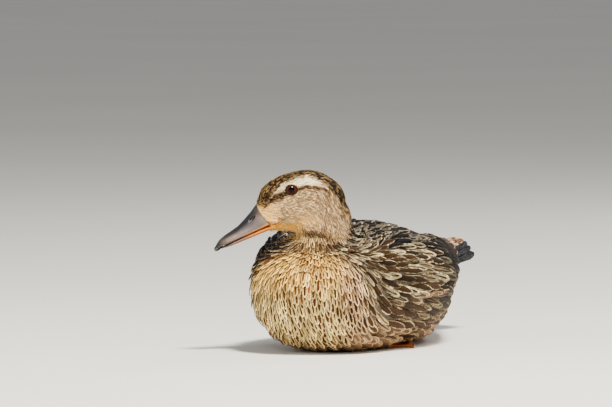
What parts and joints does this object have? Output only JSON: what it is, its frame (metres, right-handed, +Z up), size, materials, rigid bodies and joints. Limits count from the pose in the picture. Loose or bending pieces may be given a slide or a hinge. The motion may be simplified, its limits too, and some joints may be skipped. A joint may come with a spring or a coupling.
{
  "type": "mallard hen",
  "caption": "Life-size still model of a female mallard duck resting on her belly, head up and turned to her right, wings folded and feet tucked under.",
  "frame": {"origin": "centre of the flat on the belly, at floor level", "axes": "+Z up, +Y from breast to tail, +X to the bird's left"},
  "size_m": [0.156, 0.3599, 0.1488],
  "materials": {
    "plumage": "soft, dry",
    "dark_plumage": "soft, faint sheen",
    "head_plumage": "soft, dry",
    "bill": "satin horn",
    "bill_orange": "satin horn",
    "eye": "wet gloss",
    "leg_skin": "satin, scaly"
  },
  "bodies": {
    "root": {"trunk": "plumage", "tail": "dark_plumage", "wing_left": "dark_plumage", "wing_right": "dark_plumage", "neck": "head_plumage", "head": "head_plumage", "eye_left": "eye", "eye_right": "eye", "bill_upper": "bill", "bill_lower": "bill_orange", "foot_left": "leg_skin", "foot_right": "leg_skin", "leg_left": "leg_skin", "leg_right": "leg_skin"}
  },
  "joints": []
}
